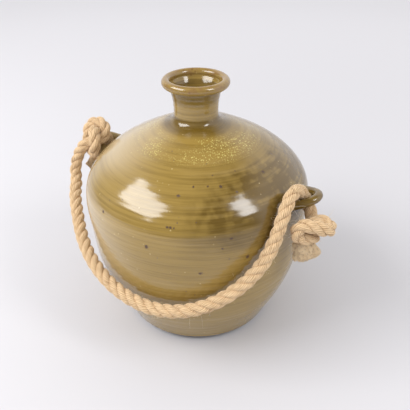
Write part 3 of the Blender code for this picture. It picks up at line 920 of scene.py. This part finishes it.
def rope_material(settings):
    """Straw-coloured yarn: streaked along the strand, with painted shade in the grooves and between the
    yarns.
    """
    material, tree, shader = new_material("rope_fibre")
    around, along, strand, outness, yarn_height = (
        add(tree, "ShaderNodeAttribute", out="Fac", attribute_name=name)
        for name in ("around", "along", "strand", "outness", "yarn_height"))
    place = add(tree, "ShaderNodeTexCoord", out="Object")
    spun = joined(around * 34.0, along * 210.0, strand * 7.0)
    streaks = noise(spun, 1.0, 3.0, roughness=0.65)
    # Painted shade in the grooves between the strands and in the lines between the yarns
    groove_shade = 1.0 - ramp(outness, 0.305, 0.400)
    between = 1.0 - ramp(yarn_height, 0.05, 0.60)
    dark = ramp(streaks, 0.42, 0.66) * 0.55 + between * 0.50 + groove_shade * 1.05
    dark = dark * (noise(place, 95.0) * 0.7 + 0.72)
    colour = mixed(reckon("MINIMUM", dark, 1.0), settings.fibre, settings.dark_fibre_and_groove_shade)
    pale = ramp(noise(spun, 2.3), 0.55, 0.75) * 0.35
    fill(shader, (
        ("Base Color", mixed(pale, colour, PALE_YARN_COLOUR)),
        ("Roughness", 0.82),
        ("Specular IOR Level", 0.30),
        ("Sheen Weight", 0.20),
        ("Sheen Roughness", 0.5),
        ("Normal", bumped(tree, 0.55, 0.0004, streaks))))
    return material


def loose_fibre_material(settings):
    """Single fibres: darker at the root, paler at the tip."""
    material, tree, shader = new_material("loose_fibre")
    along = add(tree, "ShaderNodeAttribute", out="Fac", attribute_name="along")
    each = noise(add(tree, "ShaderNodeTexCoord", out="Object"), 420.0)
    dark = (1.0 - ramp(along, 0.0, 0.7)) * 0.12 + ramp(each, 0.50, 0.66) * 0.36
    fill(shader, (
        ("Base Color", mixed(reckon("MINIMUM", dark, 1.0), LOOSE_FIBRE_COLOUR, settings.dark_fibre_and_groove_shade)),
        ("Roughness", 0.85),
        ("Specular IOR Level", 0.30)))
    return material


def floor_material(settings):
    material, tree, shader = new_material("pale_floor")
    away = (add(tree, "ShaderNodeTexCoord", out="Object") - LIT_SPOT).length()
    shade = tuple(channel * FLOOR_NEAR_SHARE for channel in settings.floor)
    fill(shader, (
        ("Base Color", mixed(ramp(away, 0.0, FLOOR_FADE), shade, settings.floor)),
        ("Roughness", 0.9)))
    return material


def material_of(name, maker, settings):
    return bpy.data.materials.get(name) or maker(settings)


# The section of the vessel, and the rope's whole line

def outline_normals(outline):
    """Unit normals of a (height, radius) outline that climbs, pointing away from the axis."""
    along = np.gradient(outline, axis=0)
    return unit(np.stack([-along[:, 1], along[:, 0]], -1))


def vessel_section():
    """The section as (radius, height, share of the finger lines), from the base over the rim inside."""
    angles = np.linspace(*RIM_TURN, RIM_STEPS)
    roll = np.stack(
        [RIM_MIDDLE[0] + RIM_TUBE * np.cos(angles), RIM_MIDDLE[1] + RIM_TUBE * np.sin(angles)], -1)
    outer = smooth_curve(BODY_OUTLINE + NECK_OUTLINE + ((roll[0][1], roll[0][0]),), 0.0012)
    body = smooth_curve(BODY_OUTLINE[:-4], 0.005)
    inner = (body + outline_normals(body) * -WALL)[::-1]
    inner = inner[(inner[:, 1] > INNER_LEAST_HEIGHT) & (inner[:, 0] > INNER_LEAST_RADIUS)]
    mouth = smooth_curve(((roll[-1][1], roll[-1][0]),) + BORE_OUTLINE, 0.0014)
    foot = FOOT_EDGE
    rows = [(radius, height, 0.0) for radius, height in foot]
    rows += [
        (radius, height, min(1.0, (height - RIDGE_START) / RIDGE_FULL_AFTER))
        for height, radius in outer[:-1]]
    rows += [(radius, height, RIM_FINGERED) for radius, height in roll]
    rows += [(radius, height, RIM_FINGERED) for height, radius in mouth[1:]]
    rows += [(radius, height, INSIDE_FINGERED) for height, radius in inner]
    last = rows[-1][0]
    rows += [(last - 0.004, FLOOR_HEIGHT + 0.0014, 0.0), (last - 0.012, FLOOR_HEIGHT, 0.0)]
    rows += [(0.0, FLOOR_HEIGHT, 0.0)]
    return np.array(rows)


Rope = namedtuple("Rope", "points marks ways normals along knotted")


def whole_rope():
    """The rope from its left end to its right one.

    It holds the points, the two that are junctions, the frame and the distance at each, and how far
    each is inside a knot, as a share.
    """
    left = drawn_tight(LEFT_KNOT_ROUTE, -1)
    right = drawn_tight(RIGHT_KNOT_ROUTE, 1)
    swag = smooth_curve([left[1], left[0], *SWAG_ROUTE, right[0], right[1]], 0.002)
    swag = swag[1:-1]
    near_left = np.linalg.norm(swag - left[0], axis=1).argmin()
    near_right = np.linalg.norm(swag - right[0], axis=1).argmin()
    whole = np.concatenate([left[::-1][:-1], swag[near_left:near_right + 1], right[1:]])
    points = smooth_curve(whole[::2] if len(whole) % 2 else np.concatenate([whole[::2], whole[-1:]]), 0.001)
    marks = [int(np.linalg.norm(points - end, axis=1).argmin()) for end in (left[0], right[0])]
    along = distance_along(points)
    first, second = along[marks]
    knotted = np.interp(along, (0, first, first + KNOT_FADE), (1.0, 1.0, 0.0))
    knotted += np.interp(along, (second - KNOT_FADE, second, along[-1]), (0.0, 1.0, 1.0))
    return Rope(points, marks, *carried_frames(points), along, knotted)


def rope_part(name, rope, start, end, tree, settings, material):
    run = slice(start, end)
    squeezed = settings.diameter * (1 - KNOT_SQUEEZE_SHARE * rope.knotted[run])
    source = line_mesh(
        name, rope.points[run], along=rope.along[run], diameter=squeezed, way=rope.ways[run],
        normal=rope.normals[run])
    return grown(name, source, tree, {
        "Lay": settings.lay, "Yarns": settings.yarns, "Yarn Depth": settings.yarn_depth,
        "Sides Per Yarn": settings.sides_per_yarn, "Material": material})


def stray_hairs(name, rope, start, end, count, rng, tree, settings, material):
    """Short hairs that stand out from a stretch of the rope, and a few long ones."""
    place = rng.uniform(start, end - 1, count)
    low = place.astype(int)
    share = (place - low)[:, None]
    middle = rope.points[low] * (1 - share) + rope.points[low + 1] * share
    way, normal = rope.ways[low], rope.normals[low]
    turn = rng.uniform(0, 2 * math.pi, count)[:, None]
    out = normal * np.cos(turn) + np.cross(way, normal) * np.sin(turn)
    root = middle + out * settings.diameter * rng.uniform(0.36, 0.47, count)[:, None]
    aim = unit(out * rng.uniform(0.35, 1.1, count)[:, None] + way * rng.uniform(-1.2, 1.2, count)[:, None]
               + rng.normal(0, 0.25, (count, 3)))
    long = rng.random(count) < settings.long_hair_share
    length = settings.hair_length * rng.uniform(0.25, 1.0, count) * np.where(long, LONG_HAIR_TIMES, 1.0)
    lean = rng.normal(0, 0.34, (count, 3)) * length[:, None]
    source = point_mesh(name, root, aim=aim, fibre_length=length, lean=lean)
    return grown(name, source, tree, {
        "Thickness": settings.hair_thickness, "Curl": HAIR_CURL, "Stations": HAIR_STATIONS,
        "Material": material})


def fray(name, end, way_in, way_out, sizes, count, rng, tree, settings, material):
    """The opened end of the rope: fibres that leave the cut end together and spread like a brush."""
    length, width, thickness = sizes
    out = knot_axes()[2]
    wide = unit(np.cross(way_out, out))
    thin = np.cross(wide, way_out)
    turn = rng.uniform(0, 2 * math.pi, count)
    reach = np.sqrt(rng.random(count))
    spread = np.stack([np.cos(turn) * reach, np.sin(turn) * reach], -1)
    across = unit(np.cross(way_in, out))
    root = end - way_in * 0.002 + across * spread[:, :1] * width * 0.38 + np.cross(
        across, way_in) * spread[:, 1:] * thickness * 0.42
    long = length * (1 - 0.22 * reach ** 2) * rng.uniform(0.82, 1.06, count)
    tip = (end + way_out * long[:, None] + wide * spread[:, :1] * width / 2
           + thin * spread[:, 1:] * thickness / 2)
    direct = tip - root
    size = np.linalg.norm(direct, axis=1)
    aim = unit(direct + way_in * size[:, None] * 0.5)
    lean = direct - aim * size[:, None]
    source = point_mesh(name, root, aim=aim, fibre_length=size, lean=lean)
    return grown(name, source, tree, {
        "Thickness": settings.fray_thickness, "Curl": FRAY_CURL, "Stations": FRAY_STATIONS,
        "Material": material})


def lug_object(name, side, settings, tree, material):
    """A rolled coil bent to a U, swollen where its two ends are pressed on to the shoulder."""
    line = smooth_curve(lug_line(side, LUG_STEPS), 0.0009)
    out, through = lug_axes(side)
    ways = unit(np.gradient(line, axis=0))
    above = np.clip((line - lug_root(side)) @ out, 0, None)
    swell = 1 + settings.flare * np.exp(-above / settings.flare_length)
    swell[0] = swell[-1] = 0.0
    line[0], line[-1] = line[1], line[-2]
    ways[0], ways[-1] = ways[1], ways[-2]
    source = line_mesh(
        name, line, across=np.cross(ways, through), up=np.tile(through, (len(line), 1)), swell=swell)
    return grown(name, source, tree, {
        "Sides": settings.sides, "Stations": len(line), "Width": settings.width,
        "Thickness": settings.thickness, "Unevenness": settings.unevenness, "Material": material})


# Operators

class DECANTER_OT_stage(bpy.types.Operator):
    """Set up the camera, the lamps, the room light and the floor"""

    bl_idname = "decanter.stage"
    bl_label = "Stage"

    def execute(self, context):
        settings = context.scene.decanter_stage
        scene = context.scene
        camera = bpy.data.objects.new("camera", bpy.data.cameras.new("camera"))
        scene.collection.objects.link(camera)
        camera.data.lens = LENS_MM
        camera.data.sensor_width = SENSOR_MM
        camera.data.clip_start = CLIP_START
        back = Vector(LOOK_BACK).normalized()
        right = Vector((0, 0, 1)).cross(back).normalized()
        up = back.cross(right)
        tilt = Matrix.Rotation(CAMERA_ROLL, 3, back)
        axes = Matrix((tilt @ right, tilt @ up, back)).transposed().to_4x4()
        camera.matrix_world = Matrix.Translation(EYE) @ axes
        scene.camera = camera
        lamps = (
            area_lamp(scene, *MAIN_LAMP, settings.lamp_power),
            area_lamp(scene, *SIDE_LAMP, settings.side_power))
        floor = flat_floor(scene, material_of("pale_floor", floor_material, settings))
        room_light(scene, settings)
        scene.view_settings.view_transform = "Standard"
        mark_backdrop(camera, floor, *lamps)
        return {"FINISHED"}


class DECANTER_OT_rope(bpy.types.Operator):
    """Lay the rope through both lugs, with its knots, its frayed ends and its stray hairs"""

    bl_idname = "decanter.rope"
    bl_label = "Rope handle"

    def execute(self, context):
        settings = context.scene.decanter_rope
        fibre = material_of("rope_fibre", rope_material, settings)
        loose = material_of("loose_fibre", loose_fibre_material, settings)
        rope = whole_rope()
        points, marks, along = rope.points, rope.marks, rope.along
        laid = laying_tree()
        last = len(points)
        split = int(np.searchsorted(along, along[marks[1]] + RIGHT_BEND_LENGTH))
        left_run, swag_run = (0, marks[0] + 1), (marks[0], marks[1] + 1)
        bend_run, right_run = (marks[1], split + 1), (split, last)
        left_end = rope_part("rope_left_end", rope, *left_run, laid, settings, fibre)
        swag = rope_part("rope_swag", rope, *swag_run, laid, settings, fibre)
        right_bend = rope_part("rope_right_bend", rope, *bend_run, laid, settings, fibre)
        right_end = rope_part("rope_right_end", rope, *right_run, laid, settings, fibre)
        rng = np.random.default_rng(settings.seed)
        hairy = fibre_tree()
        hairs = [
            stray_hairs(name, rope, *run, count, rng, hairy, settings, loose)
            for name, run, count in (
                ("hairs_left_end", left_run, 700), ("hairs_swag", swag_run, 900),
                ("hairs_right_bend", bend_run, 120), ("hairs_right_end", right_run, 580))
        ]
        tails = [
            fray(name, points[at], way_in, unit(np.asarray(way) @ knot_axes()), sizes, count, rng, hairy,
                 settings, loose)
            for name, at, way_in, way, sizes, count in (
                ("fray_left", 0, -rope.ways[0], LEFT_TAIL_WAY, LEFT_TAIL_SIZES, 900),
                ("fray_right", last - 1, rope.ways[-1], RIGHT_TAIL_WAY, RIGHT_TAIL_SIZES, 2200))
        ]
        for piece in (left_end, hairs[0]):
            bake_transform(piece)
        for piece in (right_bend, hairs[2]):
            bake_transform(piece)
        for piece in (swag, hairs[1]):
            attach(piece, "handle")
        for piece in (right_end, hairs[3], *tails):
            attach(piece, "vessel")
        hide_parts("knot_left")
        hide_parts("rope_handle")
        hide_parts("knot_right")
        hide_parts("rope_tail_left")
        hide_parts("rope_tail_right")
        along[marks[1]] - along[marks[0]]
        points[marks[0]:marks[1] + 1]
        along[-1] - along[split]
        return {"FINISHED"}


class DECANTER_OT_vessel(bpy.types.Operator):
    """Turn the vessel on the wheel and glaze it"""

    bl_idname = "decanter.vessel"
    bl_label = "Vessel"

    def execute(self, context):
        settings = context.scene.decanter_vessel
        rows = vessel_section()
        section = np.stack([rows[:, 0], np.zeros(len(rows)), rows[:, 1]], -1)
        source = line_mesh("vessel_glazed", section, fingered=rows[:, 2])
        vessel = grown("vessel_glazed", source, turning_tree(), {
            "Sides": settings.sides, "Rings": len(rows), "Ridge Depth": settings.ridge_depth,
            "Ridge Spacing": settings.ridge_spacing, "Wander": settings.wander,
            "Material": material_of("celadon_glaze", glaze_material, settings)})
        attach(vessel, "vessel")
        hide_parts("vessel_body")
        return {"FINISHED"}


class DECANTER_OT_lugs(bpy.types.Operator):
    """Roll the two coils and press them on to the shoulder"""

    bl_idname = "decanter.lugs"
    bl_label = "Lugs"

    def execute(self, context):
        settings = context.scene.decanter_lug
        material = material_of("celadon_glaze", glaze_material, context.scene.decanter_vessel)
        tree = coil_tree()
        for name, side, node in (("lug_left_glazed", -1, "lug_left"), ("lug_right_glazed", 1, "lug_right")):
            lug = lug_object(name, side, settings, tree, material)
            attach(lug, "vessel")
            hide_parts(node)
        return {"FINISHED"}


class DECANTER_PT_panel(bpy.types.Panel):
    """Lists the operators and their settings in the sidebar"""

    bl_label = "Decanter"
    bl_idname = "DECANTER_PT_panel"
    bl_space_type = "VIEW_3D"
    bl_region_type = "UI"
    bl_category = "Decanter"

    def draw(self, context):
        for operator, settings, kind in GROUPS:
            box = self.layout.box()
            box.operator(operator.bl_idname)
            for name in kind.__annotations__:
                box.prop(getattr(context.scene, settings), name)


def area_lamp(scene, name, place, target, size, power):
    lamp = bpy.data.objects.new(name, bpy.data.lights.new(name, "AREA"))
    scene.collection.objects.link(lamp)
    lamp.data.shape = "RECTANGLE"
    lamp.data.size, lamp.data.size_y = size
    lamp.data.energy = power
    lamp.location = place
    lamp.rotation_euler = (Vector(target) - Vector(place)).to_track_quat("-Z", "Y").to_euler()
    return lamp


def flat_floor(scene, material):
    mesh = bpy.data.meshes.new("floor")
    places = [(x * FLOOR_REACH, y * FLOOR_REACH, 0) for x, y in ((-1, -1), (1, -1), (1, 1), (-1, 1))]
    mesh.from_pydata(places, [], [(0, 1, 2, 3)])
    mesh.materials.append(material)
    floor = bpy.data.objects.new("floor", mesh)
    scene.collection.objects.link(floor)
    return floor


def room_light(scene, settings):
    """Even light on the object. Where the camera sees past the floor, the room has the floor's colour."""
    world = scene.world or bpy.data.worlds.new("room")
    scene.world = world
    world.use_nodes = True
    tree = world.node_tree
    tree.nodes.clear()

    def background(colour, strength):
        return add(tree, "ShaderNodeBackground", [("Color", colour), ("Strength", strength)])

    even = background((1, 1, 1, 1), settings.world_strength)
    seen = background((*settings.floor, 1), BACKDROP_SHARE)
    _, backwards, upwards = add(tree, "ShaderNodeTexCoord", out="Generated").parts()
    behind = ramp(backwards, *ROOM_BACK) * (1.0 - ramp(upwards, *ROOM_TOP))
    mirrored = background(MIRRORED_TINT, behind * MIRRORED_BRIGHT + MIRRORED_DARK)
    camera_ray = add(tree, "ShaderNodeLightPath", out="Is Camera Ray")
    glossy_ray = camera_ray.other("Is Glossy Ray")
    shiny = add(tree, "ShaderNodeMixShader", ((0, glossy_ray), (1, even), (2, mirrored)))
    chosen = add(tree, "ShaderNodeMixShader", ((0, camera_ray), (1, shiny), (2, seen)))
    fill(tree.nodes.new("ShaderNodeOutputWorld"), [(0, chosen)])


# Each operator with the name and the kind of its settings
GROUPS = (
    (DECANTER_OT_stage, "decanter_stage", DecanterStageSettings),
    (DECANTER_OT_rope, "decanter_rope", DecanterRopeSettings),
    (DECANTER_OT_vessel, "decanter_vessel", DecanterVesselSettings),
    (DECANTER_OT_lugs, "decanter_lug", DecanterLugSettings),
)
CLASSES = [*(group[2] for group in GROUPS), *(group[0] for group in GROUPS), DECANTER_PT_panel]


def register():
    for kind in CLASSES:
        bpy.utils.register_class(kind)
    for _, name, kind in GROUPS:
        setattr(bpy.types.Scene, name, bpy.props.PointerProperty(type=kind))


def unregister():
    for _, name, _ in GROUPS:
        delattr(bpy.types.Scene, name)
    for kind in reversed(CLASSES):
        bpy.utils.unregister_class(kind)


def corners():
    return [list(corner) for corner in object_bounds()]


def main():
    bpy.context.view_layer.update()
    register()
    bpy.ops.decanter.stage()
    bpy.ops.decanter.rope()
    bpy.ops.decanter.vessel()
    bpy.ops.decanter.lugs()


if __name__ == "__main__":
    main()
